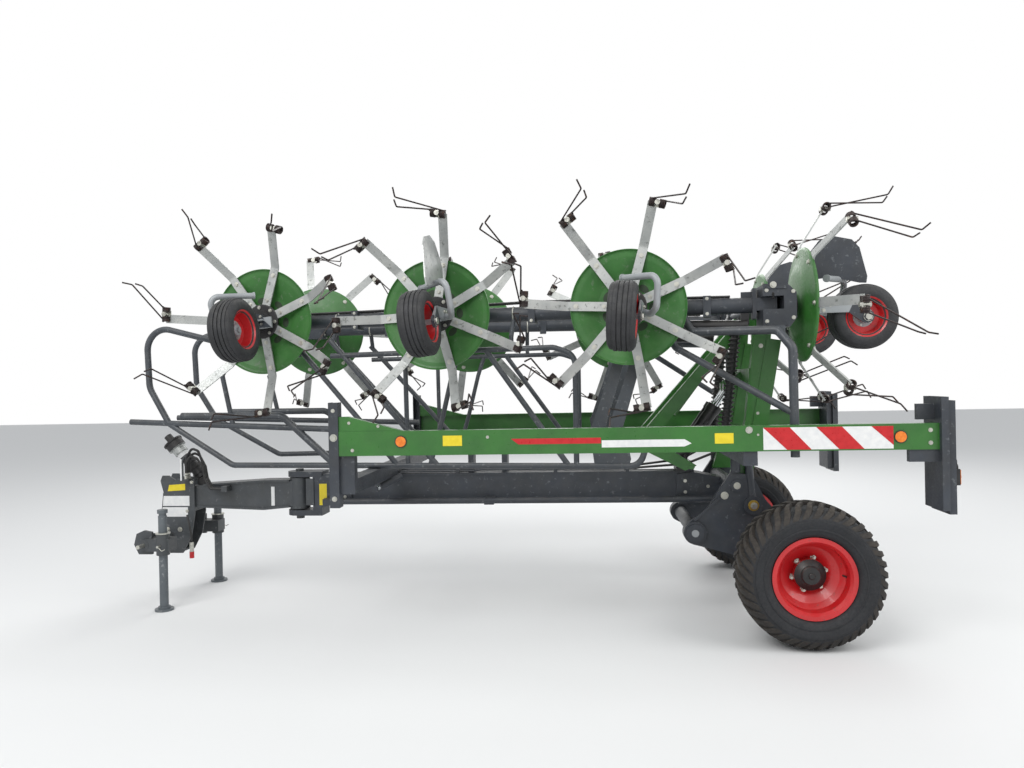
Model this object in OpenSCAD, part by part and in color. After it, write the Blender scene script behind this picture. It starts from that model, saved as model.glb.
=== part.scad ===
// Trailed eight-rotor hay tedder, folded for the road and parked on its stands.
// X runs to the rear, Y to the machine's right, Z up; the ground is Z = 0. Millimetres.
// Left is the side at -Y. Each side has rotors 1 (rear centre) to 4 (front end of the wing).

/* [Rotors] */
// height of the rotor axes above the ground
axis_z = 2045; // [2040:1:2080]
// distance between neighbouring rotor axes
pitch = 1250; // [1240:1:1300]
// radius of the pressed disc
disc_r = 362; // [350:1:370]
// tine arms on each rotor
arm_count = 7; // [6:1:7]
// width of a tine arm's flat bar
arm_w = 58; // [40:1:70]
// thickness of a tine arm's flat bar
arm_t = 10; // [6:1:14]
// radius at which the tine coils sit
head_r = 628; // [600:1:640]
// diameter of the tine wire
tine_d = 10; // [8:0.5:12]

/* [Rotor wheels] */
// diameter of the small tyres
castor_d = 410; // [380:1:420]
// width of the small tyres
castor_w = 165; // [120:1:180]
// distance of the wheel axle below the disc
castor_drop = 378; // [370:1:400]
// distance that the axle trails behind the rotor axis
castor_trail = 85; // [60:1:110]

/* [Wings] */
// angle through which a wing is folded from the rear boom
fold_angle = 96.5; // [95:0.1:98]
// X of the wing hinges
hinge_x = 1745; // [1730:1:1760]
// sideways distance of the wing hinges from the middle
hinge_y = 955; // [940:1:970]
// X of the centre rotors' discs
rear_disc_x = 1930; // [1920:1:1940]
// distance of the boom above the discs
boom_lift = 215; // [205:1:230]
// diameter of the boom tube
boom_d = 100; // [90:1:120]

/* [Side beams] */
// sideways distance of a side beam's outer face
beam_y = 1170; // [1150:1:1200]
// height of a side beam's top edge
beam_top = 1312; // [1290:1:1315]
// height of a side beam
beam_h = 148; // [120:1:160]
// X of a side beam's front end
beam_x0 = -945; // [-1000:1:-900]
// X of a side beam's rear end
beam_x1 = 2528; // [2450:1:2560]

/* [Chassis] */
// height of the main beam's top face
main_top = 930; // [900:1:950]
// height of the main beam
main_h = 190; // [150:1:220]
// width of the main beam
main_w = 150; // [120:1:180]
// X of the steering pivot
steer_x = -1640; // [-1660:1:-1620]

/* [Road wheels] */
// diameter of the road tyres
tyre_d = 850; // [820:1:860]
// width of the road tyres
tyre_w = 380; // [340:1:400]
// sideways distance of a road wheel's middle
track_y = 1000; // [990:1:1040]
// X of the road axle
axle_x = 1840; // [1820:1:1860]

/* [Headstock] */
// X of the front face of the headstock
head_x = -2700; // [-2740:1:-2660]
// sideways distance of the two stands
stand_y = 420; // [380:1:480]

/* [Hidden] */
eps = 0.3;
x_shift = 90;
axle_z = tyre_d / 2;
rotor_step = 360 / arm_count;
boom_r = boom_d / 2;
wing_us = [926, 926 + pitch, 926 + 2 * pitch];
wing_len = wing_us[2] + 210;
// the wing's hinge: its lug, and the block on the rear boom that holds it
boom_x = rear_disc_x - boom_lift;
rear_boom_y = 672;
hinge_pin_y = 741;
hinge_block_y1 = 875;
hinge_lug_u = 22;
hinge_lug_h = 80;
wing_boom_u0 = 146;
bracket_us = [420, 1550, 2800];
rear_rotor_y = pitch / 2;
// rotor table: [distance along the wing (0 for the rear centre rotor), hand, arm phase, castor turn,
//   side of the castor's flat arm, side of its tube, height factor of its deflector plate (0 for none)]
rotor_table = [
    [0, 1, 2.8, 3, 1, -1, 1],
    [wing_us[0], -1, -2.8, -4, -1, -1, 0],
    [wing_us[1], 1, 2.8, 7, -1, -1, 1.12],
    [wing_us[2], -1, -2.8, 5, 1, 1, 0],
];
// the wing guard's lower rail lies just over the front cross member
guard_d = 40;
rail_v = axis_z - guard_d / 2 - (main_top + 90 + 2 * eps);
main_x1 = 1530 - 45 - eps;
lift_pin = [1275, 975];
stand_x = head_x + 190;

green = "#2f7d2f";
dark = "#3b3f44";
galvanised = "#b9b9b0";
black = "#1b1b1d";
red = "#c0201f";

// Shared shapes

// a round bar between two points
module bar(a, b, d) {
    v = b - a;
    reach = norm(v);
    translate(a)
        rotate([0, acos(v[2] / reach), atan2(v[1], v[0])])
            cylinder(h = reach, d = d, $fn = 24);
}

function unit(v) = v / norm(v);

// the angle through which a list of points turns at point i
function turn(points, i) =
    i <= 0 || i >= len(points) - 1 ? 0
    : acos(unit(points[i] - points[i - 1]) * unit(points[i + 1] - points[i]));

// a quarter-style elbow at point i, a hair fatter than the tube that it takes in
module elbow(points, i, d, bend) {
    into = unit(points[i] - points[i - 1]);
    out = unit(points[i + 1] - points[i]);
    angle = turn(points, i);
    middle = points[i] + unit(out - into) * bend / cos(angle / 2);
    side = unit(points[i] - into * bend * tan(angle / 2) - middle);
    up = cross(side, into);
    multmatrix([
        [side[0], into[0], up[0], middle[0]],
        [side[1], into[1], up[1], middle[1]],
        [side[2], into[2], up[2], middle[2]],
        [0, 0, 0, 1]
    ]) rotate_extrude(angle = angle, $fn = 48) translate([bend, 0]) circle(d = d + 1, $fn = 24);
}

// a bent tube through a list of points, with the same bend radius at each corner
module run(points, d, bend) {
    for (i = [0 : len(points) - 2]) {
        way = unit(points[i + 1] - points[i]);
        back = i == 0 ? 0 : bend * tan(turn(points, i) / 2) - 2;
        cut = i == len(points) - 2 ? 0 : bend * tan(turn(points, i + 1) / 2) - 2;
        bar(points[i] + way * back, points[i + 1] - way * cut, d);
        if (i > 0) elbow(points, i, d, bend);
    }
}

// a flat plate drawn in X and Z, centred on y
module side_plate(points, y, t) {
    translate([0, y + t / 2, 0]) rotate([90, 0, 0]) linear_extrude(t) polygon(points);
}

// both sides of the machine
module both() {
    children();
    mirror([0, 1, 0]) children();
}

// one side of the machine: s = -1 left, s = 1 right
module on_side(s) {
    if (s < 0) children();
    else mirror([0, 1, 0]) children();
}

// a left rotor's frame: X out along the boom, Y down, Z to the ground side
module boom_frame(fold) {
    rotate([0, 0, -fold]) rotate([-90, 0, 0]) rotate([0, 90, 0]) children();
}

module rear_frame() {
    translate([rear_disc_x, 0, axis_z]) boom_frame(0) children();
}

module wing_frame() {
    translate([hinge_x, -hinge_y, axis_z]) boom_frame(fold_angle) children();
}

module rotor_frame(row) {
    if (row == 0) rear_frame() translate([rear_rotor_y, 0, 0]) children();
    else wing_frame() translate([rotor_table[row][0], 0, 0]) children();
}

module placed() {
    translate([x_shift, 0, 0]) children();
}

// Rotors

module tine(points) {
    run(points, tine_d, 14);
}

module arm(hand) {
    // the arms rise just outside the disc's rim
    bend_r = disc_r + 23;
    rise = 160;
    run_r = head_r - bend_r;
    slope = atan2(rise, run_r);
    way = [cos(slope), sin(slope)];
    tip = [bend_r, 7] + way * (norm([rise, run_r]) + 9);
    side_plate([[86, 7], [bend_r, 7], tip, tip + [-way[1], way[0]] * arm_t,
        [bend_r - arm_t * tan(slope / 2), 7 + arm_t], [86, 7 + arm_t]], 0, arm_w);
    translate([disc_r - 32, 0, -2]) cylinder(h = 26, d = 26, $fn = 6);
    translate([head_r, 0, rise + 22]) {
        for (k = [0, 62]) translate([0, hand * (k - 22), 0]) rotate([hand * -90, 0, 0])
            cylinder(h = 42, d = 56, $fn = 24);
        translate([-20, hand * 20 - 36, -20]) cube([34, 72, 34]);
    }
    tine([
        [head_r + 22, hand * 0, rise + 24],
        [640, hand * 195, 515],
        [690, hand * 205, 546]
    ]);
    tine([
        [head_r + 18, hand * 78, rise + 24],
        [590, hand * 190, 480],
        [626, hand * 202, 506]
    ]);
}

module rotor(row, half_turn) {
    hand = rotor_table[row][1];
    phase = rotor_table[row][2] + (half_turn ? rotor_step / 2 : 0);
    rotate_extrude($fn = 96) polygon([
        [60, -34], [disc_r - 172, -34], [disc_r - 126, -22], [disc_r - 44, 0], [disc_r - 22, 0], [disc_r - 10, 4],
        [disc_r - 4, 13], [disc_r, 13], [disc_r, 3], [disc_r - 8, -3], [disc_r - 22, -6], [disc_r - 44, -6],
        [disc_r - 126, -28], [disc_r - 170, -40], [60, -40]
    ]);
    difference() {
        union() {
            translate([0, 0, -60]) cylinder(h = 96, d = 150, $fn = 48);
            translate([0, 0, 2]) cylinder(h = 22, d = 236, $fn = 48);
        }
        translate([0, 0, -80]) cylinder(h = 140, d = 60.1, $fn = 48);
    }
    for (k = [0 : arm_count - 1]) rotate([0, 0, phase + k * rotor_step]) arm(hand);
}

module rotor_node(s, row) {
    color(green) placed() on_side(s) rotor_frame(row) rotor(row, s > 0);
}

// Castors: local X is the wheel axle, local Y the way the wheel trails

module castor_arm(row) {
    side = rotor_table[row][4];
    tube_side = rotor_table[row][5];
    tall = rotor_table[row][6];
    flank = castor_w / 2 + 11;
    over = castor_trail - castor_d / 2 - 42;
    translate([0, 0, -140]) cylinder(h = 215, d = 60, $fn = 48);
    translate([0, 0, 42]) cylinder(h = 40, d = 96, $fn = 36);
    translate([0, 0, 37]) cylinder(h = 10, d = 72, $fn = 36);
    translate([-flank - 8, -18, 66]) cube([2 * flank + 16, 74, 16]);
    translate([-52, -5, 66]) cube([104, 10, 44]);
    // flat arm beside the tyre, bent towards the axle, with the axle and its nut
    translate([side * flank - 6, 0, 0]) rotate([90, 0, 90]) linear_extrude(12) polygon([
        [-18, 66], [56, 66], [56, 262], [castor_trail + 36, castor_drop - 30], [castor_trail + 40, castor_drop],
        [castor_trail + 28, castor_drop + 30], [castor_trail, castor_drop + 40],
        [castor_trail - 28, castor_drop + 30], [castor_trail - 40, castor_drop], [-18, 296]
    ]);
    translate([0, castor_trail, castor_drop]) rotate([0, side * 90, 0]) {
        translate([0, 0, -40]) cylinder(h = flank + 48, d = 34, $fn = 36);
        translate([0, 0, flank + 5]) cylinder(h = 12, d = 56, $fn = 6);
    }
    // wheel guard: a tube that leaves the plate, rises beside the tyre and crosses over it to a capped end
    tube = [for (q = [[65, 31, 70], [65, 31, 112], [152, 52, 184], [186, 20, 290], [186, over, 330], [-30, over, 150]])
        [tube_side * q[0], q[1], q[2]]];
    run(tube, 39, 52);
    bar(tube[5] - unit(tube[5] - tube[4]) * 4, tube[5] + unit(tube[5] - tube[4]) * 8, 48);
    // deflector plate on the tube
    if (tall > 0) {
        translate([tube_side * 92 - 4, 0, 0]) rotate([90, 0, 90]) linear_extrude(8)
            polygon([for (q = deflector_outline) [over + q[0] * tall, q[1]]]);
        translate([tube_side * 92 - 22, over - 12, 212]) cube([44, 20, 46]);
    }
}

// deflector plate: [height over the tube, distance from the disc]
deflector_outline = [[0, 73], [-120, 42], [-173, 73], [-252, 136], [-278, 226], [-252, 341], [-199, 388],
    [-15, 436], [28, 430], [26, 388], [-15, 220]];

module castor_wheel() {
    r = castor_d / 2;
    w = castor_w / 2;
    translate([0, castor_trail, castor_drop]) rotate([0, 90, 0]) {
        // dished rim and hub
        rotate_extrude($fn = 72) polygon([
            [17.1, -30], [34, -30], [38, -24], [38, -10], [92, -8], [106, -w + 22], [122, -w + 8], [128, -w + 8],
            [128, -w + 14], [116, -w + 26], [112, w - 26], [128, w - 14], [128, w - 8], [122, w - 8],
            [106, w - 22], [92, 8], [38, 10], [38, 34], [34, 40], [17.1, 40]
        ]);
        // tyre
        rotate_extrude($fn = 72) polygon([
            [113, -w + 24], [134, -w + 3], [152, -w], [178, -w + 3], [r - 12, -w + 16],
            [r, -w + 38], [r, w - 38], [r - 12, w - 16], [178, w - 3], [152, w], [134, w - 3], [113, w - 24]
        ]);
    }
}

module castor_arm_node(s, row) {
    color(galvanised) placed() on_side(s) rotor_frame(row) rotate([0, 0, rotor_table[row][3]]) castor_arm(row);
}

module castor_wheel_node(s, row) {
    color(black) placed() on_side(s) rotor_frame(row) rotate([0, 0, rotor_table[row][3]]) castor_wheel();
}

// Booms and gearboxes

module gearbox(row) {
    // the rear ones end at the hinge block
    reach = row == 0 ? 43 - eps : 88;
    difference() {
        union() {
            translate([-88, -75, -boom_lift - 66]) cube([88 + reach, 150, 124]);
            translate([0, 0, -boom_lift + 40]) cylinder(h = boom_lift - 102, d = row == 0 ? 84 : 122, $fn = 48);
            translate([0, 0, -92]) cylinder(h = 30, d = row == 0 ? 84 : 150, $fn = 48);
            if (row > 0) for (m = [-1, 1]) translate([m * 92 - 7, 0, -boom_lift]) rotate([0, 90, 0])
                cylinder(h = 14, d = 156, $fn = 48);
        }
        translate([0, 0, -150]) cylinder(h = 120, d = 60.1, $fn = 48);
        translate([-200, 0, -boom_lift]) rotate([0, 90, 0]) cylinder(h = 400, d = boom_d, $fn = 48);
    }
}

module wing_boom() {
    wing_frame() {
        translate([wing_boom_u0, 0, -boom_lift]) rotate([0, 90, 0]) cylinder(h = wing_len - wing_boom_u0, d = boom_d, $fn = 48);
        // lug that sits in the hinge block's slot, and the flange behind it
        translate([hinge_lug_u, -hinge_lug_h / 2, -boom_lift - 30]) cube([wing_boom_u0 - hinge_lug_u + 2, hinge_lug_h, 90]);
        translate([wing_boom_u0, -100, -boom_lift - 62]) cube([22, 190, 124]);
        translate([wing_boom_u0 + 18, -84, -boom_lift - 5]) cube([70, 40, 10]);
        // cap on the boom's end
        translate([wing_len, 0, -boom_lift]) rotate([0, 90, 0]) cylinder(h = 8, d = boom_d + 16, $fn = 48);
        // brackets for the fold cylinder and the pipes
        for (u = bracket_us) translate([u, -66, -boom_lift - 56]) cube([46, 132, 112]);
    }
}

module rear_boom() {
    x0 = hinge_x - 105;
    block = [[x0, axis_z - 150], [x0 + 160, axis_z - 150], [x0 + 200, axis_z - 96], [x0 + 200, axis_z + 60],
        [x0 + 150, axis_z + 110], [x0, axis_z + 110]];
    middle = (hinge_block_y1 + rear_boom_y - 4) / 2;
    translate([boom_x, rear_boom_y, axis_z]) rotate([90, 0, 0]) cylinder(h = 2 * rear_boom_y, d = boom_d, $fn = 48);
    both() {
        difference() {
            side_plate(block, -middle, hinge_block_y1 - rear_boom_y + 4);
            translate([x0 - 5, -hinge_block_y1 - 5, axis_z - hinge_lug_h / 2 - eps])
                cube([130, hinge_block_y1 - rear_boom_y - 12, hinge_lug_h + 2 * eps]);
        }
        // heads of the hinge pin, and the stiffening rims of the block's outer face
        for (z = [-166, 109]) translate([hinge_x - 40, -hinge_pin_y, axis_z + z]) cylinder(h = 18, d = 76, $fn = 36);
        for (z = [-140, 84]) translate([x0 + 20, -hinge_block_y1 - 8, axis_z + z]) cube([118, 9, 16]);
    }
}

module gearboxes() {
    both() for (row = [0 : 3]) rotor_frame(row) gearbox(row);
}

module fold_cylinders() {
    both() wing_frame() {
        bar([200, 130, -boom_lift], [740, 112, -boom_lift], 74);
        bar([735, 112.2, -boom_lift], [1252, 96, -boom_lift], 38);
        bar([196, 130, -boom_lift], [226, 129, -boom_lift], 86);
        bar([716, 113, -boom_lift], [744, 112, -boom_lift], 86);
        for (u = [186, 1240]) translate([u, boom_r + eps, -boom_lift - 20]) cube([50, 70, 40]);
    }
}

// Guards

// wing guard table: [points in the wing's plane, tube diameter, bend radius]
wing_guard_tubes = [
    [[[3560, 196], [4432, -27], [4415, 440], [4262, 700]], 44, 150],
    [[[4577, 688], [2600, 769]], 42, 90],
    [[[4262, 704], [3752, rail_v], [878, rail_v], [846, 905]], guard_d, 90],
    [[[2980, 246], [1420, 232], [1280, 280], [1284, rail_v]], 36, 100],
    [[[3266, 134], [2507, rail_v]], 37, 90],
    [[[2988, 134], [2224, rail_v]], 37, 90],
    [[[1870, 244], [1335, rail_v]], 37, 90],
    [[[4153, 650], [3361, 657], [2960, rail_v]], 50, 90],
    [[[2440, 246], [2434, rail_v]], 32, 90],
    [[[2060, 244], [2110, 397], [2187, 698], [2277, rail_v]], 33, 90],
    [[[3823, 359], [3742, 730]], 34, 90],
];

module wing_guard() {
    lz = -110;
    wing_frame() {
        for (row = wing_guard_tubes)
            run([for (q = row[0]) [q[0], q[1], lz]], row[1], row[2]);
        // feet on the boom: [place along the boom, depth of the tube that the foot holds]
        for (foot = [[3560, 190], [3248, 150], [2969, 150], [2440, 244], [1700, 232], [1050, 172], [800, 172]]) {
            bar([foot[0], 42.3, -186.4], [foot[0], 155, lz], 31);
            if (foot[1] > 160) bar([foot[0], 148, lz], [foot[0], foot[1], lz], 30);
        }
        bar([3823, 365, lz], [3700, 162, lz], 33);
        // flat bars from a short cross tube, which widen into the plate at the rail
        bar([784, 168, lz], [1066, 168, lz], 36);
        for (q = [[912, 1006], [802, 896]]) translate([0, 0, lz - 6]) linear_extrude(12)
            polygon([[q[0], 160], [q[0] + 62, 160], [q[1] + 190, 790], [q[1] + 96, 790]]);
        translate([0, 0, lz - 7]) linear_extrude(14)
            polygon([[972, 760], [1196, 760], [1168, rail_v - 10], [1118, rail_v + 8], [950, rail_v + 8], [934, 960]]);
    }
}

module rear_guards() {
    both() {
        run([[1170, -731, 2000], [1215, -810, 1880], [1690, -1010, 1870], [1760, -1076, 1760], [1762, -1080, 1120]], 52, 56);
        run([[1080, -722, 2002], [1110, -800, 1790], [1760, -1078, 1375]], 42, 50);
        translate([1670, -1022, 1852]) cube([64, 160, axis_z - 150 - eps - 1852]);
    }
}

// Chassis

module main_frame() {
    x0 = steer_x + 190;
    difference() {
        side_plate([[x0, main_top - main_h], [x0, main_top], [1250, main_top], [main_x1, main_top - 45],
            [main_x1, main_top - main_h - 30], [1300, main_top - main_h]], 0, main_w);
    }
    // hinge fork of the steering pivot
    difference() {
        union() {
            for (z = [main_top - 20, main_top - main_h - 120])
                translate([steer_x, 0, z]) {
                    cylinder(h = 40, d = 170, $fn = 48);
                    translate([0, -85, 0]) cube([200, 170, 40]);
                }
            translate([steer_x + 130, -85, main_top - main_h - 120]) cube([70, 170, main_h + 140]);
        }
        translate([steer_x, 0, main_top - main_h - 200]) cylinder(h = 500, d = 60.1, $fn = 48);
    }
    // lugs on top of the beam
    for (x = [-330, -80]) translate([x, -60, main_top - 5]) cube([40, 120, 230]);
    // seats of the lift frame's front pin
    both() translate([lift_pin[0] - 30, -72, main_top - 30]) cube([60, 20, lift_pin[1] - 22 - eps - main_top + 30]);
    both() {
        run([[steer_x + 230, -104, 735], [steer_x + 330, -150, 735], [1300, -196, 745], [1470, -196, 745]], 44, 120);
        for (x = [steer_x + 240, -200, 1180]) translate([x, -190, 712]) cube([70, 120, 46]);
        // end plates of the main beam, with the stubs of their bolts
        side_plate([[1180, main_top - main_h - 20], [1180, main_top - 20], [1300, main_top - 8], [main_x1, main_top - 46],
            [main_x1, main_top - main_h - 32], [1320, main_top - main_h - 60]], -main_w / 2 - 7, 16);
        side_plate([[x0 + 2, main_top - main_h - 60], [x0 + 2, main_top - 20], [x0 + 60, main_top + 4],
            [x0 + 240, main_top - 14], [x0 + 240, main_top - main_h - 2]], -main_w / 2 - 7, 16);
    }
    // folded top flanges of the beam
    translate([x0 + 250, -main_w / 2 - 10, main_top - 14]) cube([1150, main_w + 20, 12]);
}

module axle_frame() {
    plate = [[1500, 960], [1640, 940], [1720, 780], [1900, 560], [1900, 360], [1780, 340], [1240, 480],
             [1210, 620], [1330, 700], [1420, 840]];
    both() {
        side_plate(plate, -430, 40);
        translate([1255, -390, 560]) rotate([90, 0, 0]) cylinder(h = 90, d = 150, $fn = 48);
    }
    translate([axle_x - 60, -track_y + 150, axle_z - 60]) cube([120, 2 * track_y - 300, 120]);
    translate([1255, 420, 560]) rotate([90, 0, 0]) cylinder(h = 840, d = 90, $fn = 48);
    translate([1530, 420, 860]) rotate([90, 0, 0]) cylinder(h = 840, d = 90, $fn = 48);
    both() translate([axle_x, -track_y + 160, axle_z]) rotate([90, 0, 0])
        cylinder(h = 200, d = 70, $fn = 48);
}

module cross_frame() {
    low = main_top + eps;
    under = beam_top - beam_h;
    translate([beam_x0, -beam_y + 20, low]) cube([90, 2 * beam_y - 40, 90]);
    translate([1452, -beam_y + 60, 1080]) cube([80, 2 * beam_y - 120, 80]);
    both() {
        translate([1531, -441, 960 + eps]) cylinder(h = 130, d = 62, $fn = 48);
        translate([beam_x0, -beam_y + 20, low]) cube([90, 60, under - low]);
        translate([1452, -beam_y + 12, 1080]) cube([80, 60, under - 1080]);
    }
}

module side_beams() {
    inner = beam_y - 60;
    both() {
        difference() {
            translate([beam_x0, -beam_y, beam_top - beam_h]) cube([beam_x1 - beam_x0, 60, beam_h]);
            translate([beam_x0 - 5, -beam_y + 6, beam_top - beam_h + 6]) cube([beam_x1 - beam_x0 + 10, 70, beam_h - 12]);
        }
        side_plate([[beam_x0, beam_top - 2], [beam_x0, beam_top + 90], [beam_x0 + 60, beam_top + 90],
            [beam_x0 + 400, beam_top - 2]], -beam_y + 30, 50);
    }
}

module end_boards() {
    under = beam_top - beam_h;
    both() {
        // front: a channel post in front of the beam
        difference() {
            translate([beam_x0 - 60, -beam_y - 6, 850]) cube([60 - eps, 74, 640]);
            translate([beam_x0 - 54, -beam_y, 840]) cube([48 - eps, 90, 660]);
        }
        // rear: an upright board of two folded rails, its arm under the beam and the lamp's stub
        for (x = [0, 44]) difference() {
            translate([beam_x1 + eps + x, -beam_y - 30 + x / 2, 820 - x / 2]) cube([40, 240, 640]);
            translate([beam_x1 + eps + x + 6, -beam_y - 24 + x / 2, 810 - x / 2]) cube([28, 228, 660]);
        }
        translate([beam_x1 + eps + 36, -beam_y + 20, 900]) cube([14, 60, 480]);
        translate([beam_x1 - 160, -beam_y + 10, under - 70]) cube([162, 40, 70 - eps]);
        translate([beam_x1 - 96, -beam_y + 64, 1330]) cube([98, 30, 90]);
        bar([beam_x1 + 80, -beam_y + 80, 1085], [beam_x1 + 118, -beam_y + 80, 1085], 40);
    }
}

module tail_lamps() {
    both() {
        translate([beam_x1 + 84 + 2 * eps, -beam_y + 20, 958]) cube([34, 112, 92]);
        for (y = [44, 98]) translate([beam_x1 + 112, -beam_y + y, 1004]) rotate([0, 90, 0])
            cylinder(h = 14, d = 44, $fn = 36);
    }
}

module lift_frame() {
    top = axis_z - boom_r - eps;
    column = [[1500, 905 + eps], [1640, 905 + eps], [1735, 1300], [1790, top], [1690, top], [1610, 1300]];
    link = [[lift_pin[0] - 45, lift_pin[1] - 30], [lift_pin[0] + 35, lift_pin[1] + 5], [1040, 1150], [1040, 1200],
        [1706, 1986], [1646, 2026], [930, 1210], [930, 1100]];
    both() {
        side_plate(column, -370, 70);
        side_plate(link, -170, 60);
    }
    translate([1640, -400, 1560]) cube([100, 800, 90]);
    translate([1685, -400, top - 80]) cube([70, 800, 80]);
    // lugs and pins of the two cylinder eyes, and a web between the link plates
    both() {
        for (y = [-32, -88]) side_plate([[1522, 1500], [1560, 1486], [1600, 1512], [1650, 1562], [1650, 1640],
            [1524, 1552]], y, 14);
        translate([1560, -22, 1525.8]) rotate([90, 0, 0]) cylinder(h = 78, d = 33, $fn = 36);
    }
    translate([1180, -145, 1330]) rotate([0, -53, 0]) cube([260, 290, 14]);
    // flanges along the columns
    both() for (y = [-412, -340]) translate([1650, y, 1240]) rotate([0, 10, 0]) cube([96, 12, 620]);
    translate([lift_pin[0], 205, lift_pin[1]]) rotate([90, 0, 0]) cylinder(h = 410, d = 44, $fn = 36);
}

module lift_cylinder() {
    eye = [1560, 0, 1525.8];
    both() {
        difference() {
            union() {
                bar([1190, -60, 1000], [1462, -60, 1386.3], 96);
                bar([1190, -60, 1000], [1222, -60, 1045.5], 106);
                bar([1440, -60, 1355], [1466, -60, 1392], 106);
                bar([1460, -60, 1383.5], [1545, -60, 1504.5], 38);
                translate([eye[0], -42, eye[2]]) rotate([90, 0, 0]) cylinder(h = 36, d = 76, $fn = 48);
            }
            translate([eye[0], 0, eye[2]]) rotate([90, 0, 0]) cylinder(h = 120, d = 33.1, $fn = 36);
        }
        translate([1180, -104, main_top + eps]) cube([56, 88, 80]);
        bar([1300, -114, 1150], [1398, -114, 1290], 22);
        translate([1296, -120, 1140]) cube([24, 40, 22]);
    }
}

module hose_spiral() {
    both() translate([1492, -252, 1163.8]) rotate([0, 7, 0]) {
        cylinder(h = 780, d = 56, $fn = 32);
        for (k = [0 : 18]) translate([0, 0, 12 + k * 40]) cylinder(h = 20, d = 84, $fn = 32);
    }
}

// Road wheels

module rim(s) {
    placed() on_side(s) translate([axle_x, -track_y, axle_z]) rotate([90, 0, 0])
        rotate_extrude($fn = 96) polygon([
            [35.05, -20], [90, -20], [110, -10], [170, 30], [196, 60], [200, -140], [214, -158],
            [240, -158], [240, -150], [220, -146], [208, -130], [208, 130], [220, 146], [240, 150],
            [240, 158], [214, 158], [200, 140], [196, 76], [168, 46], [108, 8], [92, 0], [92, 50],
            [60, 70], [35.05, 70]
        ]);
}

module tyre(s) {
    r = axle_z;
    w = tyre_w / 2;
    placed() on_side(s) translate([axle_x, -track_y, axle_z]) rotate([90, 0, 0]) {
        rotate_extrude($fn = 96) polygon([
            [209, -128], [221, -144], [242, -147], [262, -176], [330, -w], [r - 70, -w + 2],
            [r - 16, -w + 40], [r - 16, w - 40], [r - 70, w - 2], [330, w], [262, 176], [242, 147],
            [221, 144], [209, 128]
        ]);
        for (k = [0 : 17]) for (m = [-1, 1]) rotate([0, 0, k * 20 + m * 5])
            translate([r - 30, 0, m * 76]) rotate([m * 30, 0, 0]) translate([0, -30, -80]) cube([28, 60, 160]);
    }
}

// Drawbar and headstock

module drawbar() {
    difference() {
        union() {
            translate([steer_x, 0, main_top - main_h - 72]) cylinder(h = main_h + 44, d = 150, $fn = 48);
            side_plate([[steer_x - 10, 690], [steer_x - 10, 880], [-1900, 880], [-2440, 850], [-2440, 690],
                [-1900, 670]], 0, 130);
        }
    }
    translate([steer_x, 0, main_top - main_h - 150]) cylinder(h = 375, d = 60, $fn = 48);
    // clamp of the hoses' rear ends, and the folded edges of the drawbar's plates
    translate([-2200 + eps, -144, 812]) cube([44, 82, 40]);
    side_plate([[-2376, 849], [-2376, 861], [-1900, 888], [-1700, 888], [-1700, 872], [-1900, 872]], 0, 150);
    side_plate([[-2430, 684], [-2430, 698], [-1900, 678], [-1700, 694], [-1700, 680], [-1900, 662]], 0, 146);
}

module headstock() {
    // two side plates with a nose web and the block on the drawbar's end
    both() side_plate([[-2440, 900], [-2580, 905], [-2690, 800], [-2716, 560], [-2690, 400], [-2640, 340],
        [-2540, 340], [-2470, 470], [-2440, 640]], -84, 12);
    translate([-2470, -84, 660]) cube([30 - eps, 168, 190]);
    translate([-2668, -84, 360]) cube([14, 168, 330]);
    translate([-2640, -84, 346]) cube([90, 168, 14]);
    translate([-2650, 440, 470]) rotate([90, 0, 0]) cylinder(h = 880, d = 80, $fn = 48);
    both() {
        side_plate([[-2600, 560], [-2660, 572], [-2716, 548], [-2736, 470], [-2700, 400], [-2600, 400]], -400, 24);
        side_plate([[-2610, 540], [-2700, 530], [-2700, 410], [-2610, 410]], -330, 14);
        translate([-2650, -400, 470]) rotate([90, 0, 0]) cylinder(h = 110, d = 28, $fn = 36);
        // upper link ears
        side_plate([[-2570, 880], [-2650, 930], [-2700, 930], [-2716, 890], [-2690, 790], [-2600, 800]], -72, 14);
    }
    // sleeves of the two stands
    both() difference() {
        union() {
            translate([-2640, -stand_y - 18, 425]) cube([stand_x + 50 + 2640, 118, 90]);
            translate([stand_x, -stand_y, 400]) cylinder(h = 150, d = 92, $fn = 48);
        }
        translate([stand_x, -stand_y, 380]) cylinder(h = 190, d = 60.1, $fn = 48);
    }
    // hose bracket on the left plate, with its arch
    translate([-2512, -150, 900]) cube([56, 74, 10]);
    run([[-2502, -142, 905], [-2502, -142, 1050], [-2502, -84, 1094], [-2502, -72, 1040]], 15, 26);
}

module pto_shaft() {
    foot = [-2418, 0, 912];
    way = unit([-238, 0, 273]);
    bar(foot, foot + way * 250, 84);
    bar(foot + way * 246, foot + way * 300, 104);
    bar(foot + way * 298, foot + way * 352, 136);
    bar(foot + way * 350, foot + way * 362, 150);
    bar(foot + way * 360, foot + way * 420, 58);
    for (k = [0 : 3]) bar(foot + way * (30 + k * 52), foot + way * (52 + k * 52), 96);
    translate([-2438, -34, 853.6]) cube([52, 68, 60]);
}

// hoses: [sideways place, height of the loop's top]
hose_table = [[-92, 1105], [-114, 1140], [-136, 1085]];

module hoses() {
    for (row = hose_table) run([[-2478, row[0], 910 + 2 * eps], [-2478, row[0], row[1] - 60], [-2440, row[0], row[1]],
        [-2390, row[0], row[1] - 20], [-2346, row[0] + 2, 1000], [-2332, row[0] + 4, 910], [-2290, row[0] + 5, 832],
        [-2200, row[0] + 5, 832]], 18, 28);
}

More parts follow.
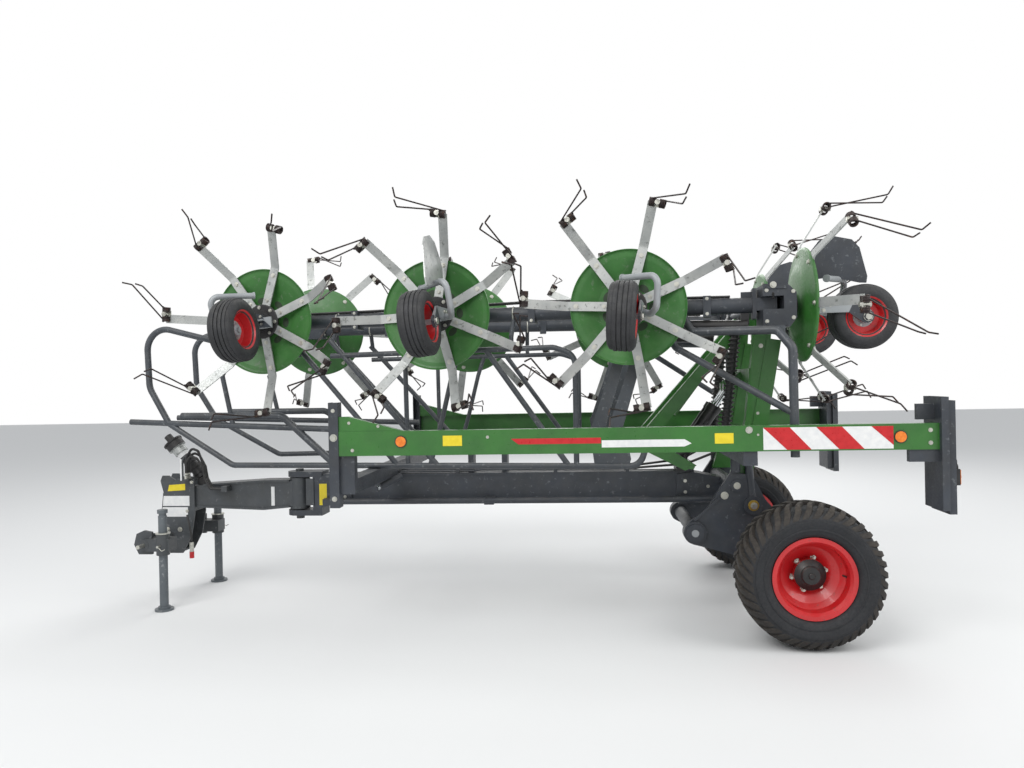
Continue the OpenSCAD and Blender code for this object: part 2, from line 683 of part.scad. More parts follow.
module stand(s) {
    placed() on_side(s) translate([stand_x, -stand_y, 0]) {
        cylinder(h = 14, d = 130, $fn = 48);
        cylinder(h = 30, d = 84, $fn = 48);
        cylinder(h = 680, d = 60, $fn = 48);
        translate([0, 0, 700]) cylinder(h = 26, d = 72, $fn = 48);
        translate([0, 0, 660]) cylinder(h = 50, d = 52, $fn = 48);
    }
}

module main_frame_node() { color(dark) placed() main_frame(); }
module axle_frame_node() { color(dark) placed() axle_frame(); }
module cross_frame_node() { color(dark) placed() cross_frame(); }
module side_beams_node() { color(green) placed() side_beams(); }
module end_boards_node() { color(dark) placed() end_boards(); }
module tail_lamps_node() { color(red) placed() tail_lamps(); }
module lift_frame_node() { color(green) placed() lift_frame(); }
module lift_cylinder_node() { color(black) placed() lift_cylinder(); }
module hose_spiral_node() { color(black) placed() hose_spiral(); }
module rear_boom_node() { color(dark) placed() rear_boom(); }
module wing_boom_node(s) { color(dark) placed() on_side(s) wing_boom(); }
module gearboxes_node() { color(dark) placed() gearboxes(); }
module fold_cylinders_node() { color(dark) placed() fold_cylinders(); }
module rear_guards_node() { color(dark) placed() rear_guards(); }
module wing_guard_node(s) { color(dark) placed() on_side(s) wing_guard(); }
module rim_node(s) { color(red) rim(s); }
module tyre_node(s) { color(black) tyre(s); }
module drawbar_node() { color(dark) placed() drawbar(); }
module headstock_node() { color(dark) placed() headstock(); }
module pto_shaft_node() { color(black) placed() pto_shaft(); }
module hoses_node() { color(black) placed() hoses(); }
module stand_node(s) { color(galvanised) stand(s); }

main_frame_node();  // main_frame
axle_frame_node();  // axle_frame
cross_frame_node();  // cross_frame
side_beams_node();  // side_beams
end_boards_node();  // end_boards
tail_lamps_node();  // tail_lamps
lift_frame_node();  // lift_frame
lift_cylinder_node();  // lift_cylinder
hose_spiral_node();  // hose_spiral
rear_boom_node();  // rear_boom
wing_boom_node(-1);  // wing_boom_left
wing_boom_node(1);  // wing_boom_right
gearboxes_node();  // gearboxes
fold_cylinders_node();  // fold_cylinders
rear_guards_node();  // rear_guards
wing_guard_node(-1);  // wing_guard_left
wing_guard_node(1);  // wing_guard_right
rim_node(-1);  // rim_left
rim_node(1);  // rim_right
tyre_node(-1);  // tyre_left
tyre_node(1);  // tyre_right
drawbar_node();  // drawbar
headstock_node();  // headstock
pto_shaft_node();  // pto_shaft
hoses_node();  // hoses
stand_node(-1);  // stand_left
stand_node(1);  // stand_right
rotor_node(-1, 0);  // rotor_left_1
rotor_node(-1, 1);  // rotor_left_2
rotor_node(-1, 2);  // rotor_left_3
rotor_node(-1, 3);  // rotor_left_4
rotor_node(1, 0);  // rotor_right_1
rotor_node(1, 1);  // rotor_right_2
rotor_node(1, 2);  // rotor_right_3
rotor_node(1, 3);  // rotor_right_4
castor_arm_node(-1, 0);  // castor_arm_left_1
castor_arm_node(-1, 1);  // castor_arm_left_2
castor_arm_node(-1, 2);  // castor_arm_left_3
castor_arm_node(-1, 3);  // castor_arm_left_4
castor_arm_node(1, 0);  // castor_arm_right_1
castor_arm_node(1, 1);  // castor_arm_right_2
castor_arm_node(1, 2);  // castor_arm_right_3
castor_arm_node(1, 3);  // castor_arm_right_4
castor_wheel_node(-1, 0);  // castor_wheel_left_1
castor_wheel_node(-1, 1);  // castor_wheel_left_2
castor_wheel_node(-1, 2);  // castor_wheel_left_3
castor_wheel_node(-1, 3);  // castor_wheel_left_4
castor_wheel_node(1, 0);  // castor_wheel_right_1
castor_wheel_node(1, 1);  // castor_wheel_right_2
castor_wheel_node(1, 2);  // castor_wheel_right_3
castor_wheel_node(1, 3);  // castor_wheel_right_4
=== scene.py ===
"""Trailed hay tedder: the looks over the CAD frame.

The row frame is in metres, +X to the rear and +Y to the machine's right. Shapes are written in
millimetres in a local frame (the left half's, the left wing's, a rotor's or a wheel's), and Shape.piece
takes them to the row frame. A side s is -1 on the left and 1 on the right, where a local frame of the
left is mirrored.
"""
import math
from collections import namedtuple

import bpy
from mathutils import Matrix, Vector


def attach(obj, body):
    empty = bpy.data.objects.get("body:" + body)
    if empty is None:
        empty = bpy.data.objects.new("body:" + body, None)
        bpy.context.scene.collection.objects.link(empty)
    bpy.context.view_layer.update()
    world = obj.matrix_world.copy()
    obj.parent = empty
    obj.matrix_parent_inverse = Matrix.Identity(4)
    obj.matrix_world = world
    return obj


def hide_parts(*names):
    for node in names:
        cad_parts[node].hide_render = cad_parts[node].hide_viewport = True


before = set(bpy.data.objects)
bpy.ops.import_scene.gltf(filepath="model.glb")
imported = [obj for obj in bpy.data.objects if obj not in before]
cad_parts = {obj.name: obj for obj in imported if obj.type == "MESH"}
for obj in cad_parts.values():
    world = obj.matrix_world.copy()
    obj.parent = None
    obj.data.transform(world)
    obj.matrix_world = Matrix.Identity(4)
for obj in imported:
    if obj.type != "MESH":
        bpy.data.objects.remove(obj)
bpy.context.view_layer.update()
MM = 0.001

# Materials

BUMP_DEPTH = 0.002


def lin(code):
    """A hex colour as linear RGBA."""
    parts = [int(code[i:i + 2], 16) / 255 for i in (0, 2, 4)]
    return tuple(c / 12.92 if c <= 0.04045 else ((c + 0.055) / 1.055) ** 2.4 for c in parts) + (1.0,)


def material(name, base, other, rough=(0.35, 0.55), metal=0.0, scale=5.0, grain=60.0, bump=0.08,
             dust=0.25, dust_colour="8d8779", specks=None, coat=0.0):
    """Painted or bare surface: two tones, fine grain in roughness and bump, dust on what faces up, and wear.

    specks holds their colour, their scale and how much they cover.
    """
    m = bpy.data.materials.new(name)
    m.use_nodes = True
    tree = m.node_tree
    nodes, link = tree.nodes, tree.links.new
    shader = nodes["Principled BSDF"]
    shader.inputs["Metallic"].default_value = metal
    shader.inputs["Coat Weight"].default_value = coat
    where = nodes.new("ShaderNodeTexCoord").outputs["Object"]

    def noise(size, detail, roughness=0.55):
        node = nodes.new("ShaderNodeTexNoise")
        for key, value in (("Scale", size), ("Detail", detail), ("Roughness", roughness)):
            node.inputs[key].default_value = value
        link(where, node.inputs["Vector"])
        return node.outputs["Fac"]

    def ramp(value, a, b, lo=0.0, hi=1.0):
        node = nodes.new("ShaderNodeMapRange")
        for key, limit in (("From Min", a), ("From Max", b), ("To Min", lo), ("To Max", hi)):
            node.inputs[key].default_value = limit
        link(value, node.inputs["Value"])
        return node.outputs["Result"]

    def mix(fac, a, b):
        node = nodes.new("ShaderNodeMix")
        node.data_type = "RGBA"
        link(fac, node.inputs["Factor"])
        for socket, value in ((node.inputs[6], a), (node.inputs[7], b)):  # its two colour sockets
            if isinstance(value, tuple):
                socket.default_value = value
            else:
                link(value, socket)
        return node.outputs[2]

    def times(a, b):
        node = nodes.new("ShaderNodeMath")
        node.operation = "MULTIPLY"
        link(a, node.inputs[0])
        link(b, node.inputs[1])
        return node.outputs["Value"]

    broad, fine = noise(scale, 4), noise(grain, 8, 0.65)
    colour = mix(ramp(broad, 0.35, 0.65), lin(base), lin(other))
    if specks:
        spot_colour, size, share = specks
        spots = ramp(noise(size, 6, 0.7), 0.62 - share * 0.1, 0.68 - share * 0.1)
        colour = mix(spots, colour, lin(spot_colour))
    if dust:
        normal = nodes.new("ShaderNodeNewGeometry").outputs["Normal"]
        split = nodes.new("ShaderNodeSeparateXYZ")
        link(normal, split.inputs["Vector"])
        up = ramp(split.outputs["Z"], -0.2, 1.0, 0.15, 1.0)
        patch = ramp(noise(scale * 2.3, 7, 0.7), 0.38, 0.72, 0.0, dust)
        colour = mix(times(up, patch), colour, lin(dust_colour))
    link(colour, shader.inputs["Base Color"])
    link(ramp(fine, 0.3, 0.7, rough[0], rough[1]), shader.inputs["Roughness"])
    relief = nodes.new("ShaderNodeBump")
    relief.inputs["Strength"].default_value = bump
    relief.inputs["Distance"].default_value = BUMP_DEPTH
    link(fine, relief.inputs["Height"])
    link(relief.outputs["Normal"], shader.inputs["Normal"])
    return m


MATERIALS = {
    # paint
    "dark": material("dark_grey_paint", "2c3036", "353a42", (0.36, 0.58), dust=0.2, specks=("565a5e", 30, 0.2)),
    "head": material("drawbar_paint", "383b3d", "42464a", (0.36, 0.58), dust=0.2, specks=("606264", 30, 0.2)),
    "tube": material("guard_tube_paint", "33373c", "3f444a", (0.32, 0.55), dust=0.22,
                     specks=("63676a", 34, 0.25)),
    "stand": material("stand_grey", "555b60", "646a6e", (0.35, 0.55), metal=0.3, dust=0.15,
                      specks=("86888a", 30, 0.3)),
    "green": material("beam_green", "285f22", "306c27", (0.25, 0.45), dust=0.16, coat=0.2),
    "disc": material("disc_green", "2c6127", "366f2f", (0.3, 0.5), dust=0.32, dust_colour="7f8f70",
                     specks=("4f6f49", 22, 0.3)),
    "light": material("light_grey_tube", "8f9396", "9da1a3", (0.35, 0.55), metal=0.1, dust=0.2),
    "black": material("black_paint", "141416", "1c1c1f", (0.3, 0.5), dust=0.18),
    "red": material("rim_red", "b3161c", "c41f24", (0.25, 0.42), dust=0.12, coat=0.25,
                    specks=("8f3a36", 25, 0.1)),
    # bare metal
    "chrome": material("chrome_rod", "c4c8cc", "d2d5d8", (0.08, 0.2), metal=0.95, scale=20, grain=150,
                       bump=0.02, dust=0.05),
    "galv": material("galvanised_arms", "a4a7a6", "b7b9b6", (0.35, 0.6), metal=0.55, scale=9, grain=90,
                     bump=0.12, dust=0.2, specks=("7f827f", 26, 0.4)),
    "steel": material("tine_steel", "26201f", "33292a", (0.35, 0.6), metal=0.5, scale=12, grain=90,
                      bump=0.1, dust=0.15, specks=("4e3426", 40, 0.5)),
    "zinc": material("zinc_bolts", "b5b5ae", "c8c7bd", (0.25, 0.45), metal=0.8, scale=20, grain=120,
                     bump=0.05, dust=0.1),
    "gold": material("yellow_zinc", "a88b3e", "bba155", (0.3, 0.45), metal=0.75, scale=20, grain=120,
                     bump=0.05, dust=0.1),
    # plastic, rubber and lenses
    "plastic": material("black_plastic", "161618", "202022", (0.45, 0.65), dust=0.2),
    "rubber": material("tyre_rubber", "15171b", "1d1f23", (0.6, 0.85), scale=7, grain=70, bump=0.3,
                       dust=0.16, dust_colour="5d5a54"),
    "tread": material("tyre_tread", "1e1c1b", "2b2724", (0.65, 0.9), scale=9, grain=80, bump=0.3,
                      dust=0.42, dust_colour="6b6154"),
    "small": material("small_tyre_rubber", "1e1f22", "2a2b2e", (0.55, 0.8), scale=12, grain=110, bump=0.2,
                      dust=0.3, dust_colour="77756e"),
    "lamp": material("lamp_red", "a80f12", "bd1a18", (0.1, 0.2), dust=0.1, coat=0.5),
    "amber": material("amber_reflector", "d9701a", "e8842a", (0.1, 0.25), scale=60, dust=0.08, coat=0.5),
    # blank stickers
    "yellow": material("yellow_sticker", "d8c21e", "e2cc2b", (0.3, 0.45), scale=30, dust=0.1),
    "white": material("white_sticker", "d9dada", "e4e4e2", (0.3, 0.45), scale=30, dust=0.14),
    "stripe": material("red_sticker", "b4161c", "c01f24", (0.25, 0.4), scale=30, dust=0.05),
    "patch": material("dark_patch", "22331f", "2a3d26", (0.5, 0.7), scale=30, dust=0.1),
}

# Mesh tools


def turn(degrees, axis):
    """A rotation about one of the axes."""
    return Matrix.Rotation(math.radians(degrees), 4, axis)


FACE = {"-y": turn(90, "X"), "+y": turn(-90, "X"), "+x": turn(90, "Y"), "-x": turn(-90, "Y"), "+z": Matrix()}


def facing(x, y, z, way):
    """A frame at a point, with its Z axis along way."""
    return Matrix.Translation((x, y, z)) @ FACE[way]


def circle(r, n, start=0.0):
    """The corners of a regular polygon."""
    return [(r * math.cos(start + 2 * math.pi * i / n), r * math.sin(start + 2 * math.pi * i / n))
            for i in range(n)]


def coil(r, turns, steps):
    """Points of a coil, each as its two places across the axis and the share of the length."""
    return [(r * math.cos(2 * math.pi * turns * i / steps),
             r * math.sin(2 * math.pi * turns * i / steps), i / steps)
            for i in range(steps + 1)]


class Shape:
    """Vertices and faces in millimetres, each face with a material number."""

    def __init__(self):
        self.v, self.f, self.m = [], [], []

    def add(self, verts, faces, mat=0, at=None):
        """Adds a closed mesh; at, here as below, is its frame in the shape's own."""
        k = len(self.v)
        self.v += [tuple(at @ Vector(p)) if at else tuple(p) for p in verts]
        self.f += [tuple(i + k for i in face) for face in faces]
        self.m += [mat] * len(faces)

    def lathe(self, profile, n=64, mat=0, at=None):
        """A closed profile of (radius, height) turned about Z."""
        p = len(profile)
        verts = [(r * math.cos(2 * math.pi * i / n), r * math.sin(2 * math.pi * i / n), z)
                 for i in range(n) for r, z in profile]
        faces = [(i * p + j, ((i + 1) % n) * p + j, ((i + 1) % n) * p + (j + 1) % p, i * p + (j + 1) % p)
                 for i in range(n) for j in range(p)]
        self.add(verts, faces, mat, at)

    def prism(self, outline, z0, z1, mat=0, at=None):
        """An outline of (x, y) raised from z0 to z1."""
        k = len(outline)
        verts = [(x, y, z) for z in (z0, z1) for x, y in outline]
        faces = [tuple(range(k - 1, -1, -1)), tuple(range(k, 2 * k))]
        faces += [(i, (i + 1) % k, k + (i + 1) % k, k + i) for i in range(k)]
        self.add(verts, faces, mat, at)

    def box(self, lo, hi, mat=0, at=None):
        self.prism([(lo[0], lo[1]), (hi[0], lo[1]), (hi[0], hi[1]), (lo[0], hi[1])], lo[2], hi[2], mat, at)

    def round(self, r, z0, z1, n=24, mat=0, at=None, start=0.0):
        """A cylinder, or with few corners a polygon bar, along Z."""
        self.prism(circle(r, n, start), z0, z1, mat, at)

    def bolt(self, x, y, z, size=11, height=8, mat=0, at=None, up=1):
        """A washer and a hexagon head at (x, y), on the face at z."""
        here = (at or Matrix()) @ Matrix.Translation((x, y, z))
        self.round(size * 1.35, min(0, 2 * up), max(0, 2 * up), 20, mat, here)
        self.round(size, min(0, height * up), max(0, height * up), 6, mat, here, 0.3)

    def stud(self, place, way, size, height, mat=0, lift=0):
        """A bolt on a face that looks along way."""
        self.bolt(0, 0, lift, size, height, mat, facing(*place, way))

    def tube(self, points, r, n=10, mat=0, at=None, bend=0.0):
        """A round tube along points, with each corner rounded to the bend radius."""
        pts = [Vector(p) for p in points]
        path = [pts[0]]
        for before, here, after in zip(pts, pts[1:], pts[2:]):
            a, b = (here - before).normalized(), (after - here).normalized()
            angle = a.angle(b)
            if bend and angle > 0.03:
                reach = bend * math.tan(angle / 2)
                middle = here + (b - a).normalized() * bend / math.cos(angle / 2)
                side = (here - a * reach - middle).normalized()
                steps = max(2, int(angle / 0.25))
                path += [middle + bend * (side * math.cos(angle * k / steps) + a * math.sin(angle * k / steps))
                         for k in range(steps + 1)]
            else:
                path.append(here)
        path.append(pts[-1])
        self.sweep(path, r, n, mat, at)

    def sweep(self, path, r, n=10, mat=0, at=None):
        """A closed round bar along a fine path."""
        rings, up = [], None
        for i, p in enumerate(path):
            way = (path[min(i + 1, len(path) - 1)] - path[max(i - 1, 0)]).normalized()
            if up is None:
                up = way.orthogonal().normalized()
            up = (up - way * up.dot(way)).normalized()
            side = way.cross(up)
            rings.append([p + r * (up * math.cos(2 * math.pi * k / n) + side * math.sin(2 * math.pi * k / n))
                          for k in range(n)])
        verts = [q for ring in rings for q in ring]
        last = (len(rings) - 1) * n
        faces = [(i * n + k, i * n + (k + 1) % n, (i + 1) * n + (k + 1) % n, (i + 1) * n + k)
                 for i in range(len(rings) - 1) for k in range(n)]
        faces += [tuple(range(n - 1, -1, -1)), tuple(range(last, last + n))]
        self.add(verts, faces, mat, at)

    def piece(self, name, mats, body, at, angle=32, replaces=()):
        """Makes the Blender object, riding on a body; at is the matrix from millimetres to the row frame."""
        mesh = bpy.data.meshes.new(name)
        flip = at.to_3x3().determinant() < 0
        mesh.from_pydata([at @ Vector(p) for p in self.v], [],
                         [tuple(reversed(face)) for face in self.f] if flip else self.f)
        for m in mats:
            mesh.materials.append(MATERIALS[m])
        mesh.polygons.foreach_set("material_index", self.m)
        mesh.shade_smooth()
        mesh.set_sharp_from_angle(angle=math.radians(angle))
        mesh.update()
        o = bpy.data.objects.new(name, mesh)
        bpy.context.collection.objects.link(o)
        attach(o, body)
        if replaces:
            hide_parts(*replaces)


def paint(mat, *names):
    """Gives CAD nodes a better material."""
    for node in names:
        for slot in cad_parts[node].material_slots:
            slot.material = MATERIALS[mat]


def recolour(node, mats, rule, body, local):
    """A copy of a CAD node whose faces take materials by place.

    rule(middle in the local frame) gives the number.
    """
    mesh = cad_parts[node].data.copy()
    mesh.materials.clear()
    for m in mats:
        mesh.materials.append(MATERIALS[m])
    back = local.inverted()
    for p in mesh.polygons:
        p.material_index = rule(back @ p.center)
    c = bpy.data.objects.new(node + "_finish", mesh)
    bpy.context.collection.objects.link(c)
    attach(c, body)
    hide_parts(node)


# Places, as in the CAD

SHIFT = 0.090                          # the CAD's own shift along X, in metres
AXIS_Z, PITCH = 2045, 1250             # height of the rotor axes when folded, and rotor to rotor
HINGE, FOLD = (1745, -955), 96.5       # the left wing's hinge, and its fold in degrees
REAR_X, LIFT = 1930, 215               # the rear boom's place, and the booms' distance from the rotor planes
DROP, TRAIL, CASTOR_W = 378, 85, 165   # a castor wheel below the rotor plane, behind its pin, and its width
HEAD_R, STEP = 628, 360 / 7            # radius of the tine heads, and the turn from arm to arm
WHEEL_X, WHEEL_Y, WHEEL_Z = 1840, 1000, 425
BEAM_Y, BEAM_TOP, BEAM_H = 1170, 1312, 148

# each row: place along the boom, hand, arm phase, castor turn, side of its flat arm, side of its tube
Row = namedtuple("Row", "u hand phase castor flat tube")
ROWS = [Row(0, 1, 2.8, 3, 1, -1), Row(926, -1, -2.8, -4, -1, -1), Row(926 + PITCH, 1, 2.8, 7, -1, -1),
        Row(926 + 2 * PITCH, -1, -2.8, 5, 1, 1)]
SIDES = (("left", -1), ("right", 1))


def side_frame(s):
    """From the left side's millimetres, as in the CAD, to the row frame; s = 1 mirrors them to the right."""
    return (Matrix.Scale(MM, 4) @ Matrix.Translation((SHIFT / MM, 0, 0))
            @ Matrix.Scale(-1 if s > 0 else 1, 4, (0, 1, 0)))


def boom_frame(fold):
    """X out along a boom, Z towards the rotors' ground side."""
    return turn(-fold, "Z") @ turn(-90, "X") @ turn(90, "Y")


def wing_frame(s):
    """From the left wing's frame in millimetres to the row frame; s = 1 mirrors it to the right."""
    return side_frame(s) @ Matrix.Translation((HINGE[0], HINGE[1], AXIS_Z)) @ boom_frame(FOLD)


def rotor_frame(s, row):
    """A rotor's frame in millimetres: the disc's rim at Z = 0, and Z towards the ground side."""
    if row == 0:
        return (side_frame(s) @ Matrix.Translation((REAR_X, 0, AXIS_Z)) @ boom_frame(0)
                @ Matrix.Translation((PITCH / 2, 0, 0)))
    return wing_frame(s) @ Matrix.Translation((ROWS[row].u, 0, 0))


def wheel_frame(s):
    """A road wheel's frame in millimetres, with Z out of the machine."""
    return (Matrix.Scale(MM, 4) @ Matrix.Translation((WHEEL_X + SHIFT / MM, s * WHEEL_Y, WHEEL_Z))
            @ FACE["-y" if s < 0 else "+y"])


HERE = side_frame(-1)
TO_WING = (HERE.inverted() @ wing_frame(-1)).inverted()

# Rotors

DISC = [(60, -34), (188, -34), (196, -33), (232, -23), (240, -21), (312, -1.5), (320, 0), (338, 0), (346, 1.5),
        (352, 4), (356, 9), (358, 13), (362, 13), (362, 5), (358, -1), (352, -4), (344, -6), (318, -6),
        (238, -28), (192, -40), (60, -40)]
PATCH_AT, PATCH = 150, (22, 34)            # dark ovals on the disc: their radius, and their half axes
HUB_BOLTS = 98                             # radius of the hub's bolt circle
ARM_BOLTS = ((148, 10), (325, 12))         # radius and size of the bolts that hold an arm to hub and disc
HUB = [(30.1, -60), (75, -60), (75, 2), (112, 2), (118, 5), (118, 20), (112, 24), (75, 24), (72, 36), (30.1, 36)]
ARM_W, ARM_KNEE, ARM_RISE = 58, 385, 160   # a flat arm's width, where it turns up, and its rise to the tines
COIL_R, COIL_Z, WIRE_R = 23, 182, 5
COIL_TURNS, COIL_L, COIL_STEPS = 4.2, 36, 80
TINE_BEND = 14
# each tine of a pair: its coil's start across the arm, and its points from the coil to the hooked tip
TINES = ((-22, ((HEAD_R + 21, -6, 186), (640, 195, 515), (690, 205, 546))),
         (40, ((HEAD_R + 20, 74, 186), (590, 190, 480), (626, 202, 506))))


def arm_profile():
    """Side view of an arm as (radius, height): flat on the disc, then up to the tine head."""
    slope = math.atan2(ARM_RISE, HEAD_R - ARM_KNEE)
    way = Vector((math.cos(slope), math.sin(slope)))
    up = Vector((-way.y, way.x))
    tip = Vector((ARM_KNEE, 7)) + way * (math.hypot(ARM_RISE, HEAD_R - ARM_KNEE) + 9)
    return [(86, 7), (378, 7), (390, 10), tuple(tip), tuple(tip + up * 10), (388, 20.8), (379, 17.4), (372, 17),
            (86, 17)]


def rotor(side, s, row):
    """Disc, hub, seven arms and their tines, in place of the CAD's rotor."""
    hand = ROWS[row].hand
    phase = ROWS[row].phase + (STEP / 2 if s > 0 else 0)
    at = rotor_frame(s, row)
    tag = f"{side}_{row + 1}"
    body = "rotor_unit_" + tag
    disc, hub, arms, tines = Shape(), Shape(), Shape(), Shape()
    disc.lathe(DISC, 128)
    hub.lathe(HUB)
    profile, patch = arm_profile(), [(PATCH[0] * x, PATCH[1] * y) for x, y in circle(1, 24)]
    for k in range(7):
        here = turn(phase + k * STEP, "Z")
        arms.prism(profile, -ARM_W / 2, ARM_W / 2, 0, here @ turn(90, "X"))
        for r, size in ARM_BOLTS:
            arms.bolt(r, 0, 17, size, 8, 1, here)
        arms.bolt(ARM_BOLTS[1][0], 0, -5, 12, 12, 1, here, -1)
        # clamp and bolt at the coils
        arms.box((HEAD_R - 22, hand * 20 - 37, 160), (HEAD_R + 16, hand * 20 + 37, 168), 1, here)
        arms.round(16, 150, 214, 16, 1, here @ Matrix.Translation((HEAD_R, hand * 30, 0)))
        for base, _ in TINES:
            tines.sweep([Vector((HEAD_R + x, hand * (base + 3 + COIL_L * share), COIL_Z + y))
                         for x, y, share in coil(COIL_R, COIL_TURNS, COIL_STEPS)], WIRE_R, 8, 0, here)
        for _, points in TINES:
            tines.tube([(x, hand * y, z) for x, y, z in points], WIRE_R, 8, 0, here, TINE_BEND)
        # a dark patch on the disc and a hub bolt between each two arms
        disc.prism(patch, -34.2, -33.2, 1, here @ turn(STEP / 2, "Z") @ Matrix.Translation((PATCH_AT, 0, 0)))
        hub.bolt(HUB_BOLTS, 0, 24, 9, 7, 1, turn(phase + (k + 0.5) * STEP, "Z"))
    disc.piece("disc_" + tag, ["disc", "patch"], body, at, replaces=["rotor_" + tag])
    hub.piece("hub_" + tag, ["plastic", "zinc"], body, at)
    arms.piece("tine_arms_" + tag, ["galv", "zinc"], body, at)
    tines.piece("tines_" + tag, ["steel"], body, at)


# Castors

CASTOR_HUB = [(17.1, -30), (34, -30), (40, -24), (40, -12), (64, -8), (64, 8), (40, 12), (40, 34), (34, 40),
              (17.1, 40)]
RIB_STEP = 28
# the castors of these rows carry a deflector plate, in the colour given
PLATES = {0: "dark", 2: "galv"}


def castor_tyre_profile():
    """A castor tyre's section as (radius, height), with four ribs on its tread."""
    ribs = []
    for i in range(4):
        z = -56 + i * RIB_STEP
        ribs += [(197, z - 4.5), (203.5, z - 3.5), (205 if i else 201, z), (205, z + 11), (203, z + 18),
                 (197, z + 19)]
    return ([(110, -64), (126, -76), (132, -80), (150, -82.5), (176, -80), (192, -70)] + ribs
            + [(197, 52), (196, 62), (192, 70), (176, 80), (150, 82.5), (132, 80), (126, 76), (110, 64)])


def castor(side, s, row):
    """A castor's tyre and rim on its wheel body, its arm's colours and its nuts."""
    tag = f"{side}_{row + 1}"
    arm_body, wheel_body = "castor_" + tag, "castor_roll_" + tag
    at = rotor_frame(s, row) @ turn(ROWS[row].castor, "Z")
    wheel = at @ Matrix.Translation((0, TRAIL, DROP)) @ turn(90, "Y")
    tyre = Shape()
    tyre.lathe(castor_tyre_profile(), 96)
    tyre.piece("castor_tyre_" + tag, ["small"], wheel_body, wheel, replaces=["castor_wheel_" + tag])
    rim = Shape()
    for m in (-1, 1):
        rim.lathe([(128, m * 78), (122, m * 74), (108, m * 60), (100, m * 22), (96, m * 8), (60, m * 7), (60, 0),
                   (98, 0), (104, m * 14), (112, m * 56), (126, m * 70)], 72)
    rim.lathe(CASTOR_HUB, 48, 1)
    for k in range(5):
        around = Matrix.Rotation(2 * math.pi * k / 5, 4, "Z")
        rim.bolt(52, 0, 8, 7, 6, 2, around)
        rim.bolt(52, 0, -8, 7, 6, 2, around, -1)
    rim.piece("castor_rim_" + tag, ["red", "light", "zinc"], wheel_body, wheel)

    flat = ROWS[row].flat
    flank = flat * (CASTOR_W / 2 + 11)
    way = "+x" if flat > 0 else "-x"

    def rule(c):
        """The deflector plate, then the dark flat arm, foot and sleeve, then the light tube."""
        if row in PLATES and abs(c.x - ROWS[row].tube * 92) < 4.7 and c.y < -125:
            return 2
        on_flat_arm = abs(c.x - flank) < 22 and c.z > 255 and c.y > 30
        on_sleeve = math.hypot(c.x, c.y) < 49 and c.z < 84
        return 1 if on_flat_arm or c.z < 62 or on_sleeve else 0

    recolour("castor_arm_" + tag, ["light", "dark", PLATES.get(row, "galv")], rule, arm_body, at)
    nuts = Shape()
    for y, z in ((8, 110), (40, 110), (8, 150)):
        nuts.stud((flank + flat * 6, y, z), way, 9, 8)
    nuts.stud((flank + flat * 11, TRAIL, DROP), way, 22, 14)
    for a in range(4):
        nuts.bolt(36 * math.cos(a * math.pi / 2 + 0.8), 36 * math.sin(a * math.pi / 2 + 0.8), 82, 7, 6)
    nuts.piece("castor_bolts_" + tag, ["zinc"], arm_body, at)


# Colours of the frame's pieces


def along(c, foot, way):
    """How far along a line a point lies, in millimetres."""
    return (c - Vector(foot)).dot(Vector(way).normalized())


def pto_rule(c):
    """A white band and the bright shaft between the black guards."""
    t = along(c, (-2418, 0, 912), (-238, 0, 273))
    return 1 if 214 < t < 245 else 2 if 245 <= t < 299 else 0


def headstock_rule(c):
    """Bright hitch pins outside the plates."""
    return 1 if abs(c.y) > 441 and math.hypot(c.x + 2650, c.z - 470) < 15.5 else 0


def lift_rod_rule(c):
    """The lift cylinders' bright rods."""
    t = along(c, (1190, c.y, 1000), (272, 0, 386.3))
    return 1 if 477 < t < 606 and abs(abs(c.y) - 60) < 19.5 and abs(c.z - 1000 - (c.x - 1190) * 1.4202) < 36 else 0


def rim_rule(c):
    """The black hub in the rim."""
    return 1 if math.hypot(c.x, c.y) < 91.9 and c.z > 2 else 0


def fold_rod_rule(c):
    """The fold cylinders' bright rods."""
    w = TO_WING @ Vector((c.x, -abs(c.y), c.z))
    return 1 if 745 < w.x < 1239 and abs(w.z + LIFT) < 19.6 else 0


# Chassis


